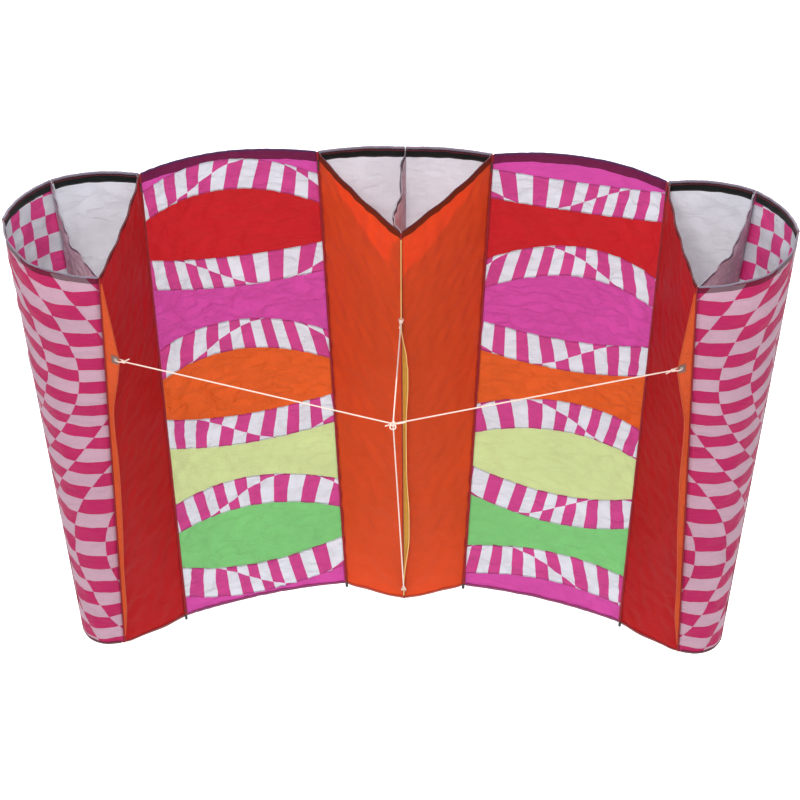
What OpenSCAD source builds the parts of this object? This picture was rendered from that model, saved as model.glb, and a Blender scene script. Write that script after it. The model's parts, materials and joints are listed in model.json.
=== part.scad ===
// Three-cell sled kite: a cloth sail with an inflated cell at its middle and at each
// tip, patchwork panels between them, four rods, three keels and a four-leg bridle.
// Millimetres. +Z runs up the sail, -Y points forward to the tow loop, and the origin
// is where the flying line ties on. Left is -X.

/* [Sail] */
// Height of the sail from its trailing edge to its leading edge
chord = 1215; // [1100:5:1300]
// How much lower the front of each cell's mouth is than its back
mouth_cut = 50; // [30:5:80]
// How far the top edge of each inner rib dips
rib_dip = 42; // [20:1:60]
// Thickness of the cloth as it is modelled
cloth_thick = 0.8; // [0.6:0.1:1.2]

/* [Tapes and seams] */
// Width of the tape along the leading edge and round the mouths
tape_width = 20; // [15:1:25]
// Thickness of that tape
tape_thick = 0.6; // [0.4:0.1:0.8]
// Radius of the rolled seams at the ridges and along the ribs
seam_r = 2; // [1.5:0.1:2.5]

/* [Rods] */
// Radius of the fibreglass rods
rod_r = 2.5; // [2:0.1:3]
// Outer radius of the sleeves that hold the rods
sleeve_r = 4; // [3.6:0.1:5]
// Outer radius of the vinyl end caps
cap_r = 3.6; // [3.2:0.1:3.8]
// Length of the end caps
cap_length = 30; // [24:1:36]
// How far the lower end caps stand out below the sail
cap_reach = 11; // [6:1:16]

/* [Keels and bridle] */
// Height of a keel at the corner that its bridle leg is tied to
keel_height = 42; // [30:1:55]
// Height of the narrow stretch of a keel below that corner
keel_strip = 20; // [14:1:26]
// Place of that corner, as a share of the way up the ridge
keel_corner = 0.79; // [0.7:0.01:0.85]
// Distance from the middle of the sail's leading edge forward to the tow point
tow_forward = 960; // [900:10:1000]
// Height of the tow point above the trailing edge
tow_height = 985; // [950:5:1050]
// Radius of the bridle cord
cord_r = 1.6; // [1.2:0.05:1.8]
// Length of the tow loop, from the middle of its knot to its far end
loop_reach = 26; // [22:1:34]

/* [Hidden] */

LEFT = -1;
RIGHT = 1;

// Seam lines of the right half, each from the trailing edge up to the leading edge.
mouth_z = chord - mouth_cut;
panel_seam = [[144, -24, 0], [211, -29, chord]];
cell_seam = [[533, -192, 0], [636, -154, chord]];
rib_seam = [[662, -198, 0], [847, -192, chord]];
edge_seam = [[780, -264, 0], [950, -389, chord]];
side_ridge = [[677, -322, 0], [710, -576, mouth_z]];
centre_ridge = [[0, -91, 0], [0, -336, mouth_z]];
centre_rib_seam = [[0, -14, 0], [0, 0, chord]];

// How far each cloth billows at the trailing edge and at the leading edge. A cloth
// that runs towards +X billows forward when this is positive.
panel_billow = [-22, -58];
centre_back_billow = [-6, -12];
centre_wall_billow = [-5, -8];
cell_back_billow = [-8, -24];
edge_back_billow = [-10, -20];
inner_wall_billow = [6, 10];
outer_wall_billow = [33, 86];
flat = [0, 0];

// Gaps: from a rod that the cloth swings about, from a sleeve or a rolled seam that it
// is sewn to, from a tape's end to a seam, and between two patches.
hinge_gap = sleeve_r + 1.2;
sleeve_gap = sleeve_r + 0.3;
seam_gap = seam_r + 0.4;
tape_gap = 11;
patch_gap = 0.4;

// The centre rib's own seam stands just in front of the unbroken back sheet, and it is
// thinner than the others.
rib_seam_stand = 2.1;
rib_seam_less = 0.6;

// Rods: how far they stop below the leading edge, the caps' closed ends, and the gap
// round a rod in its sleeve and caps.
top_rod_inset = 20;
cap_floor = 2;
rod_gap = 0.25;

// Check strips of a panel, from the top down: height of the lower edge at the panel
// seam and at the cell seam, and how far it arches between them, as shares of the chord.
left_strips = [[0.885, 0.895, 0.030], [0.734, 0.744, -0.035], [0.528, 0.539, 0.030],
    [0.383, 0.385, -0.033], [0.182, 0.189, 0.024], [0.048, 0.047, -0.036]];
right_strips = [[0.904, 0.913, -0.029], [0.697, 0.718, 0.030], [0.556, 0.568, -0.036],
    [0.362, 0.376, 0.020], [0.219, 0.221, -0.041], [0.030, 0.040, 0.012]];
strip_height = 0.062;

// A keel's height along its ridge: share of the way up, height.
keel_foot = 0.02;
keel_profile = [[keel_foot, keel_strip], [0.66, keel_strip], [keel_corner, keel_height],
    [0.985, seam_r + 3]];
keel_rows = [keel_foot, 0.2, 0.4, 0.66, 0.72, keel_corner, 0.88, 0.985];

// Eyelets, their distance in from the keel's edge, and the patches that back them.
eyelet_r = 5;
eyelet_bore_r = 2.6;
eyelet_length = 3;
eyelet_inset = 9;
foot_eyelet_inset = 7;
foot_eyelet_rise = 9;
patch_side = 21;
patch_thick = 0.5;
ring_r = 12;

tow_point = [0, -tow_forward, tow_height];
knot = tow_point + [0, loop_reach, 0];
knot_r = 6.5;
knot_bore_r = cord_r + 0.1;
knot_tails = [[[-0.6, 0.3, -0.75], 17], [[0.75, 0.45, 0.45], 27]];
loop_half_width = 9;
loop_corner_r = 3;
// The centre legs end at the knot. The side legs stop short of it: the linkage of
// panel, tip cell, keel and leg is open there.
tied_gap = 0.4;
open_pivot = 10;
fine = 32;

function mix(a, b, t) = a + (b - a) * t;
function unit(v) = v / norm(v);
function on_seam(seam, t) = mix(seam[0], seam[1], t);
function flip(p) = [-p[0], p[1], p[2]];
function seam_of(seam, side) = side == LEFT ? [flip(seam[0]), flip(seam[1])] : seam;

// A point of the cloth between seams a and b: s across it and t up it.
function cloth_point(a, b, billow, s, t) =
    let (p = on_seam(a, t), q = on_seam(b, t), out = unit(cross(q - p, [0, 0, 1])))
    mix(p, q, s) + out * 4 * mix(billow[0], billow[1], t) * s * (1 - s);

// The values of s across a cloth at height t: its two sides, which keep their gaps
// from the seams, and between them cols even steps of the stretch that a tape covers.
function stations(a, b, gaps, cols, t) =
    let (width = norm(on_seam(b, t) - on_seam(a, t)), end = tape_gap / width)
    concat([gaps[0] / width], [for (j = [0:cols]) mix(end, 1 - end, j / cols)],
        [1 - gaps[1] / width]);

// A grid of points on that cloth. Its top edge dips by dip.
function cloth_grid(a, b, billow, gaps, cols = 6, rows = 5, dip = 0) =
    [for (i = [0:rows]) let (t = i / rows) [for (s = stations(a, b, gaps, cols, t))
        cloth_point(a, b, billow, s, t * (1 - 4 * dip * s * (1 - s) / chord))]];

// The same for the tape along its top edge, which stops tape_gap short of both seams.
function tape_grid(a, b, billow, cols = 6) =
    [for (t = [1 - tape_width / chord, 1]) let (across = stations(a, b, flat, cols, t))
        [for (j = [1:cols + 1]) cloth_point(a, b, billow, across[j], t)]];

// The same, between two edges that arch across the cloth: [at a, at b, arch] each.
function edge_at(edge, s) = mix(edge[0], edge[1], s) + 4 * edge[2] * s * (1 - s);
function patch_grid(a, b, billow, gaps, low, high, cols = 8, rows = 2) =
    let (across = stations(a, b, gaps, cols, 0.5), seam = patch_gap / chord)
    [for (i = [0:rows]) [for (j = [0:cols + 2])
        let (t = mix(edge_at(low, across[j]) + seam, edge_at(high, across[j]) - seam, i / rows))
        cloth_point(a, b, billow, stations(a, b, gaps, cols, t)[j], t)]];

// A closed sheet through a grid of points, moved off it by shift.
module sheet(grid, thick = cloth_thick, shift = 0) {
    rows = len(grid);
    cols = len(grid[0]);
    last_row = rows - 1;
    last_col = cols - 1;
    function across(i, j) = grid[i][min(j + 1, last_col)] - grid[i][max(j - 1, 0)];
    function upward(i, j) = grid[min(i + 1, last_row)][j] - grid[max(i - 1, 0)][j];
    function out(i, j) = unit(cross(across(i, j), upward(i, j)));
    function at(side, i, j) = (side * rows + i) * cols + j;
    function two(a, b, c, d) = [[a, b, c], [a, c, d]];
    points = [for (side = [0, 1]) for (i = [0:last_row]) for (j = [0:last_col])
        grid[i][j] + out(i, j) * (shift + (side - 0.5) * thick)];
    faces = [
        for (i = [0:last_row - 1]) for (j = [0:last_col - 1])
            each two(at(1, i, j), at(1, i + 1, j), at(1, i + 1, j + 1), at(1, i, j + 1)),
        for (i = [0:last_row - 1]) for (j = [0:last_col - 1])
            each two(at(0, i, j), at(0, i, j + 1), at(0, i + 1, j + 1), at(0, i + 1, j)),
        for (j = [0:last_col - 1])
            each two(at(0, 0, j), at(1, 0, j), at(1, 0, j + 1), at(0, 0, j + 1)),
        for (j = [0:last_col - 1])
            each two(at(0, last_row, j), at(0, last_row, j + 1), at(1, last_row, j + 1),
                at(1, last_row, j)),
        for (i = [0:last_row - 1])
            each two(at(0, i, 0), at(0, i + 1, 0), at(1, i + 1, 0), at(1, i, 0)),
        for (i = [0:last_row - 1])
            each two(at(0, i, last_col), at(1, i, last_col), at(1, i + 1, last_col),
                at(0, i + 1, last_col))];
    polyhedron(points, faces, convexity = 8);
}

// Puts what is built round the sail's own foot into the part's frame.
module placed() {
    translate(-tow_point) children();
}

module sided(side) {
    if (side == LEFT) mirror([1, 0, 0]) children();
    else children();
}

// Turns +Z to the direction v and moves the foot to p.
module aimed(p, v) {
    translate(p) rotate([0, acos(v[2] / norm(v)), atan2(v[1], v[0])]) children();
}

module bar(p, q, r) {
    aimed(p, q - p) cylinder(h = norm(q - p), r = r, $fn = fine);
}

module tube(p, q, r, bore) {
    aimed(p, q - p) difference() {
        cylinder(h = norm(q - p), r = r, $fn = fine);
        translate([0, 0, -1]) cylinder(h = norm(q - p) + 2, r = bore, $fn = fine);
    }
}

// ---- rods, sleeves and end caps

function rod_end(seam, top) =
    on_seam(seam, top ? 1 - top_rod_inset / chord : (cap_floor - cap_reach) / chord);

module rod(seam) {
    bar(rod_end(seam, false), rod_end(seam, true), rod_r);
}

module sleeve(seam) {
    tube(on_seam(seam, (cap_length - cap_reach + 1) / chord),
        on_seam(seam, 1 - (cap_length + top_rod_inset - 1) / chord), sleeve_r, rod_r + rod_gap);
}

// One cap, from its closed end towards its open end.
module cap(end, up) {
    closed = end - unit(up) * cap_floor;
    difference() {
        bar(closed, closed + unit(up) * cap_length, cap_r);
        bar(end - unit(up) * rod_gap, end + unit(up) * cap_length, rod_r + rod_gap);
    }
}

module caps(seam) {
    up = seam[1] - seam[0];
    cap(rod_end(seam, false), up);
    cap(rod_end(seam, true), -up);
}

// ---- keels, patches and eyelets

// A keel leans from its ridge towards the tow point.
function lean(ridge) =
    let (corner = on_seam(ridge, keel_corner), v = knot - corner) unit([v[0], v[1], 0]);
function keel_point(ridge, t, height) = on_seam(ridge, t) + lean(ridge) * height;
function eyelet_at(ridge) = keel_point(ridge, keel_corner, keel_height - eyelet_inset);
function foot_eyelet_at(ridge) =
    keel_point(ridge, keel_foot, keel_strip - foot_eyelet_inset) + [0, 0, foot_eyelet_rise];
function keel_side(ridge) = unit(cross(lean(ridge), ridge[1] - ridge[0]));

module eyelet(ridge, centre) {
    half = keel_side(ridge) * eyelet_length / 2;
    tube(centre - half, centre + half, eyelet_r, eyelet_bore_r);
}

module eyelet_hole(ridge, centre) {
    half = keel_side(ridge) * 10;
    bar(centre - half, centre + half, eyelet_r + 0.1);
}

module keel(ridge, with_foot = false) {
    difference() {
        sheet([for (t = keel_rows)
            [keel_point(ridge, t, seam_gap + 0.4), keel_point(ridge, t, lookup(t, keel_profile))]]);
        eyelet_hole(ridge, eyelet_at(ridge));
        if (with_foot) eyelet_hole(ridge, foot_eyelet_at(ridge));
    }
}

// A cloth patch on each face of a keel, round an eyelet, inside the keel's own outline.
module keel_patch(ridge, centre, low, high, inner) {
    shift = (cloth_thick + patch_thick) / 2 + 0.1;
    grid = [for (t = [low, (low + high) / 2, high])
        [keel_point(ridge, t, inner), keel_point(ridge, t, lookup(t, keel_profile) - 0.5)]];
    difference() {
        for (face = [-1, 1]) sheet(grid, patch_thick, face * shift);
        eyelet_hole(ridge, centre);
    }
}

module corner_patch(ridge) {
    span = patch_side / chord;
    keel_patch(ridge, eyelet_at(ridge), keel_corner - span, keel_corner + span, 20);
}

module foot_patch(ridge) {
    keel_patch(ridge, foot_eyelet_at(ridge), keel_foot + 0.001, keel_foot + 0.02, 6);
}

// ---- bridle

// Part of a cord bent to radius bend_r about +Z, from +X round by angle.
module bent_cord(bend_r, angle = 360) {
    rotate_extrude(angle = angle, $fn = 48)
        translate([bend_r, 0]) circle(r = cord_r, $fn = 20);
}

// A cord from an eyelet to gap short of the knot, with the ring that ties it on.
module leg(ridge, start, gap) {
    outward = unit(knot - start);
    ring_plane = unit(cross(keel_side(ridge), outward));
    aimed(start + outward * ring_r, ring_plane) bent_cord(ring_r);
    bar(start + outward * 2 * ring_r, knot - outward * (knot_r + gap), cord_r);
}

// A ball with the bore that the tow loop turns in, and the two ends of the tied cord.
module knot_body() {
    rotate([0, 90, 0]) rotate_extrude($fn = 48) intersection() {
        circle(r = knot_r, $fn = 48);
        translate([knot_bore_r, -knot_r]) square([knot_r, 2 * knot_r]);
    }
    for (tail = knot_tails)
        bar(unit(tail[0]) * (knot_r - 0.3), unit(tail[0]) * tail[1], cord_r);
}

// A D of cord: a cross bar in the knot's bore, two sides and a round end.
module loop_body() {
    half_bar = loop_half_width - loop_corner_r;
    side_end = loop_half_width - loop_reach;
    bar([-half_bar, 0, 0], [half_bar, 0, 0], cord_r);
    translate([half_bar, -loop_corner_r, 0]) bent_cord(loop_corner_r, 90);
    translate([-half_bar, -loop_corner_r, 0]) rotate([0, 0, 90]) bent_cord(loop_corner_r, 90);
    for (x = [-loop_half_width, loop_half_width])
        bar([x, side_end, 0], [x, -loop_corner_r, 0], cord_r);
    translate([0, side_end, 0]) rotate([0, 0, 180]) bent_cord(loop_half_width, 180);
}

// ---- tapes, on the inner face of the cloth

tape_shift = (cloth_thick + tape_thick) / 2 + 0.3;

module tape(a, b, billow, face, cols = 6) {
    sheet(tape_grid(a, b, billow, cols), tape_thick, face * tape_shift);
}

// ---- sub-parts of the centre cell

module centre_back_sheet() color("white") {
    half = cloth_grid(centre_rib_seam, panel_seam, centre_back_billow, [0, sleeve_gap]);
    sheet([for (row = half)
        concat([for (j = [len(row) - 1:-1:1]) flip(row[j])], row)]);
}

module centre_wall(side) color("orangered") {
    sided(side) sheet(cloth_grid(panel_seam, centre_ridge, centre_wall_billow,
        [sleeve_gap, seam_gap]));
}

module centre_rib() color("mistyrose") {
    sheet(cloth_grid(centre_ridge, centre_rib_seam, flat, [seam_gap, rib_seam_stand + seam_gap],
        dip = rib_dip));
}

module centre_seams() color("firebrick") {
    bar(centre_ridge[0], centre_ridge[1], seam_r);
    translate([0, -rib_seam_stand, 0])
        bar(centre_rib_seam[0], centre_rib_seam[1], seam_r - rib_seam_less);
}

module centre_tapes() color("black") {
    for (side = [LEFT, RIGHT]) sided(side) {
        tape(centre_rib_seam, panel_seam, centre_back_billow, 1);
        tape(panel_seam, centre_ridge, centre_wall_billow, 1);
    }
}

module centre_rod(side) color("silver") {
    sided(side) rod(panel_seam);
}

module centre_rod_sleeves() color("firebrick") {
    for (side = [LEFT, RIGHT]) sided(side) sleeve(panel_seam);
}

module centre_rod_caps() color("black") {
    for (side = [LEFT, RIGHT]) sided(side) caps(panel_seam);
}

module centre_keel() color("gold") {
    keel(centre_ridge, with_foot = true);
}

module centre_keel_patches() color("dimgray") {
    corner_patch(centre_ridge);
    foot_patch(centre_ridge);
}

module centre_keel_eyelets() color("silver") {
    eyelet(centre_ridge, eyelet_at(centre_ridge));
    eyelet(centre_ridge, foot_eyelet_at(centre_ridge));
}

module top_bridle_leg() color("ivory") {
    leg(centre_ridge, eyelet_at(centre_ridge), tied_gap);
}

module bottom_bridle_leg() color("ivory") {
    leg(centre_ridge, foot_eyelet_at(centre_ridge), tied_gap);
}

module tow_knot() color("ivory") {
    translate(knot) knot_body();
}

module tow_loop() color("ivory") {
    translate(knot) loop_body();
}

// ---- sub-parts of a wing: its patchwork panel and the rod at its tip side

function strips_of(side) = side == LEFT ? left_strips : right_strips;
function raised(edge, by) = [edge[0] + by, edge[1] + by, edge[2]];

// Field n lies above strip n; field 0 ends at the leading edge and field 6 at the trailing edge.
function field_low(strips, n) = n == len(strips) ? [0, 0, 0] : raised(strips[n], strip_height);
function field_high(strips, n) = n == 0 ? [1, 1, 0] : strips[n - 1];

module panel_patch(side, low, high) {
    sided(side) sheet(patch_grid(panel_seam, cell_seam, panel_billow,
        [hinge_gap, sleeve_gap], low, high));
}

module fields(side, numbers) {
    strips = strips_of(side);
    for (n = numbers) panel_patch(side, field_low(strips, n), field_high(strips, n));
}

module check_strips(side) color("hotpink") {
    for (edge = strips_of(side)) panel_patch(side, edge, raised(edge, strip_height));
}

module magenta_fields(side) color("magenta") {
    fields(side, [0, 2, 6]);
}

module red_field(side) color("red") {
    fields(side, [1]);
}

module orange_field(side) color("darkorange") {
    fields(side, [3]);
}

module yellow_field(side) color("khaki") {
    fields(side, [4]);
}

module green_field(side) color("limegreen") {
    fields(side, [5]);
}

module wing_rod(side) color("silver") {
    sided(side) rod(cell_seam);
}

module wing_rod_sleeve(side) color("firebrick") {
    sided(side) sleeve(cell_seam);
}

module wing_rod_caps(side) color("black") {
    sided(side) caps(cell_seam);
}

module leading_tape(side) color("indigo") {
    sided(side) tape(panel_seam, cell_seam, panel_billow, -1, cols = 8);
}

// ---- sub-parts of a tip cell

module cell_back(side) color("white") {
    sided(side) sheet(cloth_grid(cell_seam, rib_seam, cell_back_billow, [hinge_gap, seam_gap]));
}

module cell_back_check(side) color("pink") {
    sided(side) sheet(cloth_grid(rib_seam, edge_seam, edge_back_billow, [seam_gap, seam_gap]));
}

module inner_wall(side) color("red") {
    sided(side) sheet(cloth_grid(cell_seam, side_ridge, inner_wall_billow,
        [hinge_gap, seam_gap]));
}

module outer_wall(side) color("hotpink") {
    sided(side) sheet(cloth_grid(side_ridge, edge_seam, outer_wall_billow, [seam_gap, seam_gap],
        cols = 12));
}

module rib(side) color("mistyrose") {
    sided(side) sheet(cloth_grid(side_ridge, rib_seam, flat, [seam_gap, seam_gap],
        dip = rib_dip));
}

module cell_seams(side) color("firebrick") {
    sided(side) for (seam = [side_ridge, rib_seam, edge_seam]) bar(seam[0], seam[1], seam_r);
}

module cell_tapes(side) color("black") {
    sided(side) {
        tape(cell_seam, rib_seam, cell_back_billow, 1);
        tape(rib_seam, edge_seam, edge_back_billow, 1);
        tape(cell_seam, side_ridge, inner_wall_billow, -1);
        tape(side_ridge, edge_seam, outer_wall_billow, -1, cols = 12);
    }
}

module side_keel(side) color("darkorange") {
    keel(seam_of(side_ridge, side));
}

module side_keel_patches(side) color("dimgray") {
    corner_patch(seam_of(side_ridge, side));
}

module side_keel_eyelet(side) color("silver") {
    eyelet(seam_of(side_ridge, side), eyelet_at(seam_of(side_ridge, side)));
}

module side_bridle_leg(side) color("ivory") {
    leg(seam_of(side_ridge, side), eyelet_at(seam_of(side_ridge, side)), open_pivot);
}

// ---- one line for each node
placed() centre_back_sheet();
placed() centre_wall(LEFT);  // centre_left_wall
placed() centre_wall(RIGHT);  // centre_right_wall
placed() centre_rib();
placed() centre_seams();
placed() centre_tapes();
placed() centre_rod(LEFT);  // centre_left_rod
placed() centre_rod(RIGHT);  // centre_right_rod
placed() centre_rod_sleeves();
placed() centre_rod_caps();
placed() centre_keel();
placed() centre_keel_patches();
placed() centre_keel_eyelets();
placed() top_bridle_leg();
placed() bottom_bridle_leg();
placed() tow_knot();
placed() tow_loop();

placed() check_strips(LEFT);  // left_check_strips
placed() magenta_fields(LEFT);  // left_magenta_fields
placed() red_field(LEFT);  // left_red_field
placed() orange_field(LEFT);  // left_orange_field
placed() yellow_field(LEFT);  // left_yellow_field
placed() green_field(LEFT);  // left_green_field
placed() wing_rod(LEFT);  // left_rod
placed() wing_rod_sleeve(LEFT);  // left_rod_sleeve
placed() wing_rod_caps(LEFT);  // left_rod_caps
placed() leading_tape(LEFT);  // left_leading_tape
placed() cell_back(LEFT);  // left_cell_back
placed() cell_back_check(LEFT);  // left_cell_back_check
placed() inner_wall(LEFT);  // left_inner_wall
placed() outer_wall(LEFT);  // left_outer_wall
placed() rib(LEFT);  // left_rib
placed() cell_seams(LEFT);  // left_cell_seams
placed() cell_tapes(LEFT);  // left_cell_tapes
placed() side_keel(LEFT);  // left_keel
placed() side_keel_patches(LEFT);  // left_keel_patches
placed() side_keel_eyelet(LEFT);  // left_keel_eyelet
placed() side_bridle_leg(LEFT);  // left_bridle_leg

placed() check_strips(RIGHT);  // right_check_strips
placed() magenta_fields(RIGHT);  // right_magenta_fields
placed() red_field(RIGHT);  // right_red_field
placed() orange_field(RIGHT);  // right_orange_field
placed() yellow_field(RIGHT);  // right_yellow_field
placed() green_field(RIGHT);  // right_green_field
placed() wing_rod(RIGHT);  // right_rod
placed() wing_rod_sleeve(RIGHT);  // right_rod_sleeve
placed() wing_rod_caps(RIGHT);  // right_rod_caps
placed() leading_tape(RIGHT);  // right_leading_tape
placed() cell_back(RIGHT);  // right_cell_back
placed() cell_back_check(RIGHT);  // right_cell_back_check
placed() inner_wall(RIGHT);  // right_inner_wall
placed() outer_wall(RIGHT);  // right_outer_wall
placed() rib(RIGHT);  // right_rib
placed() cell_seams(RIGHT);  // right_cell_seams
placed() cell_tapes(RIGHT);  // right_cell_tapes
placed() side_keel(RIGHT);  // right_keel
placed() side_keel_patches(RIGHT);  // right_keel_patches
placed() side_keel_eyelet(RIGHT);  // right_keel_eyelet
placed() side_bridle_leg(RIGHT);  // right_bridle_leg
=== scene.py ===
"""Looks of the three-cell sled kite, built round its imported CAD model.

Metres, in the model's own frame: +Z up the sail, -Y forward to the tow loop, +X to the
right. Cloth is worked out for the right half of the kite and mirrored to the left.
"""

import json
import math
from functools import partialmethod

import bmesh
import bpy
import numpy as np
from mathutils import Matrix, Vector


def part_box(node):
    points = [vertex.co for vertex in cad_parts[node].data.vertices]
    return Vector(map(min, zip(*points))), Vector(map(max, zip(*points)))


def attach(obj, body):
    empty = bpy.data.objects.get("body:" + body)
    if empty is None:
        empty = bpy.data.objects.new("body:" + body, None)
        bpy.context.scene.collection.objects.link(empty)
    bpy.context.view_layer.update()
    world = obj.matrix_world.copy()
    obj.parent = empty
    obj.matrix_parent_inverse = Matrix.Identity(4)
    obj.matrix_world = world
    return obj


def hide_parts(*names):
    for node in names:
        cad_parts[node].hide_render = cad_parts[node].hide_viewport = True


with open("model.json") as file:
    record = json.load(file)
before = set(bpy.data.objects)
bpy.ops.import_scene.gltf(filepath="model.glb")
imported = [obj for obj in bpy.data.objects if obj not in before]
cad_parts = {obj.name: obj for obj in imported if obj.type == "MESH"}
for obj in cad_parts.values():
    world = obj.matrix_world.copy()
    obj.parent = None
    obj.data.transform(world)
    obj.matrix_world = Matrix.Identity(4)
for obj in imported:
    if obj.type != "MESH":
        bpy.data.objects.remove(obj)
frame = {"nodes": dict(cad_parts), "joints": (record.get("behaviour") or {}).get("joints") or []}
bpy.context.view_layer.update()

LEFT = -1
RIGHT = 1
SIDES = {"left": LEFT, "right": RIGHT}
CENTRE = "centre_cell"
BRIDLE_BODIES = {"top": CENTRE, "bottom": CENTRE, "left": "left_side_leg", "right": "right_side_leg"}
FULL_TURN = 2 * math.pi

RIB_SEAM_STAND = 0.0021
BACKWARD = np.array((0.0, 1.0, 0.0))

# ---- places, from the frame


def placed(name, data):
    """A new object in the scene."""
    obj = bpy.data.objects.new(name, data)
    bpy.context.scene.collection.objects.link(obj)
    return obj


def on_line(line, share):
    """The point at a share of the way from a line's first end to its second."""
    return line[0] + (line[1] - line[0]) * share


def mirrored(points, side):
    return np.asarray(points, float) * (side, 1, 1)


def unit(v):
    return v / np.linalg.norm(v, axis=-1, keepdims=True)


def islands(node):
    """The separate solids of a CAD node, each as an array of its points."""
    bm = bmesh.new()
    bm.from_mesh(frame["nodes"][node].data)
    bmesh.ops.remove_doubles(bm, verts=bm.verts, dist=1e-6)
    seen, found = set(), []
    for first in bm.verts:
        if first in seen:
            continue
        seen.add(first)
        stack, points = [first], []
        while stack:
            v = stack.pop()
            points.append(v.co[:])
            for edge in v.link_edges:
                other = edge.other_vert(v)
                if other not in seen:
                    seen.add(other)
                    stack.append(other)
        found.append(np.array(points, float))
    bm.free()
    return found


def bar_line(points):
    """The middles of a bar's two ends, the lower one first."""
    by_height = points[np.argsort(points[:, 2], kind="stable")]
    half = len(by_height) // 2
    return by_height[:half].mean(0), by_height[half:].mean(0)


def middle(node):
    low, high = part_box(node)
    return np.array((low + high) / 2)


def joint_seam(name, top):
    """The seam that a joint turns about, from its foot up to height top."""
    joint = next(j for j in frame["joints"] if j["name"] == name)
    foot, axis = np.array(joint["pos_m"]), np.array(joint["axis"])
    return foot, foot + axis * (top - foot[2]) / axis[2]


TRAILING, LEADING = (corner.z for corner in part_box("centre_back_sheet"))
CHORD = LEADING - TRAILING
PANEL_SEAM = joint_seam("right_panel_flex", LEADING)
CELL_SEAM = joint_seam("right_tip_cell_flex", LEADING)
SIDE_RIDGE, RIB_SEAM, EDGE_SEAM = sorted(
    (bar_line(points) for points in islands("right_cell_seams")), key=lambda line: line[1][0])
CENTRE_RIDGE, CENTRE_RIB_BAR = sorted(
    (bar_line(points) for points in islands("centre_seams")), key=lambda line: line[1][1])
CENTRE_RIB_SEAM = tuple(end + RIB_SEAM_STAND * BACKWARD for end in CENTRE_RIB_BAR)
KNOT = np.array(next(j for j in frame["joints"] if j["name"] == "tow_loop_swing")["pos_m"])
LOOP_REACH = KNOT[1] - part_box("tow_loop")[0].y

CLOTH_THICK = 0.0006
SLEEVE_R = 0.0037
SLEEVE_FOOT = 0.005
TUCK = 0.0008
SEAM_R = 0.0022
TAPE_WIDTH = 0.020
PANEL_TAPE_WIDTH = 0.026
BACK_TAPE_WIDTH = 0.025
HEM_WIDTH = 0.008
RIB_DIP = 0.042
CORD_R = 0.0016
KNOT_R = 0.0068

# ---- camera and light


def point_at(obj, target):
    direction = Vector(target) - obj.location
    obj.rotation_euler = direction.to_track_quat("-Z", "Y").to_euler()


VIEW_AZIMUTH = math.radians(1.8)
VIEW_ELEVATION = math.radians(30)
VIEW_WIDTH = 1.94
VIEW_LENS = 500
VIEW_DEPTH = 200
AIM = Vector((-0.006, 0.736, -0.345))
SKY_COLOUR = (0.93, 0.96, 1.0, 1)
SKY_STRENGTH = 0.80

camera_data = bpy.data.cameras.new("camera")
camera_data.lens = VIEW_LENS
camera_data.clip_end = VIEW_DEPTH
camera = placed("camera", camera_data)
view_distance = VIEW_WIDTH * VIEW_LENS / camera_data.sensor_width
camera.location = AIM + view_distance * Vector((
    math.sin(VIEW_AZIMUTH) * math.cos(VIEW_ELEVATION),
    -math.cos(VIEW_AZIMUTH) * math.cos(VIEW_ELEVATION), math.sin(VIEW_ELEVATION)))
point_at(camera, AIM)
bpy.context.scene.camera = camera
bpy.context.scene.view_settings.view_transform = "Standard"

world = bpy.data.worlds.new("studio")
world.use_nodes = True
sky = world.node_tree.nodes["Background"].inputs
sky["Color"].default_value = SKY_COLOUR
sky["Strength"].default_value = SKY_STRENGTH
bpy.context.scene.world = world


def softbox(name, place, size, power, colour):
    data = bpy.data.lights.new(name, "AREA")
    data.shape = "DISK"
    data.size = size
    data.energy = power
    data.color = colour
    lamp = placed(name, data)
    lamp.location = place
    point_at(lamp, AIM)


softbox("key", AIM + Vector((-0.5, -5.6, 4.4)), 1.6, 260, (1.0, 0.98, 0.95))
softbox("back", AIM + Vector((0.2, 5.0, 3.6)), 0.2, 480, (1.0, 0.96, 0.90))

# ---- node materials


def srgb(red, green, blue):
    """A colour given in 0 to 255, as the linear values that shaders take."""
    values = (c / 255 for c in (red, green, blue))
    return tuple(c / 12.92 if c <= 0.04045 else ((c + 0.055) / 1.055) ** 2.4 for c in values)


def feed(tree, place, value):
    """Links a number or socket to an input, or sets the input to a plain value."""
    source = value.socket if isinstance(value, Sum) else value
    if isinstance(source, bpy.types.NodeSocket):
        tree.links.new(source, place)
    else:
        place.default_value = (*source, 1) if place.type == "RGBA" else source


class Sum:
    """A number in a node tree. Arithmetic on it adds Math nodes."""

    def __init__(self, tree, socket):
        self.tree = tree
        self.socket = socket

    def math(self, operation, *others):
        node = self.tree.nodes.new("ShaderNodeMath")
        node.operation = operation
        for place, value in zip(node.inputs, (self, *others)):
            feed(self.tree, place, value)
        return Sum(self.tree, node.outputs[0])

    def odd(self):
        """1 where the whole number is odd and 0 where it is even."""
        return (self * 0.5).fraction().above(0.25)

    def either(self, other):
        """1 where one of two masks is on, and 0 where both or neither are."""
        return (self - other).magnitude()


for method, operation in (("__add__", "ADD"), ("__sub__", "SUBTRACT"), ("__mul__", "MULTIPLY"),
                          ("__truediv__", "DIVIDE"), ("floor", "FLOOR"), ("fraction", "FRACT"),
                          ("sine", "SINE"), ("magnitude", "ABSOLUTE"), ("below", "LESS_THAN"),
                          ("above", "GREATER_THAN"), ("least", "MINIMUM"), ("most", "MAXIMUM")):
    setattr(Sum, method, partialmethod(Sum.math, operation))


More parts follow.
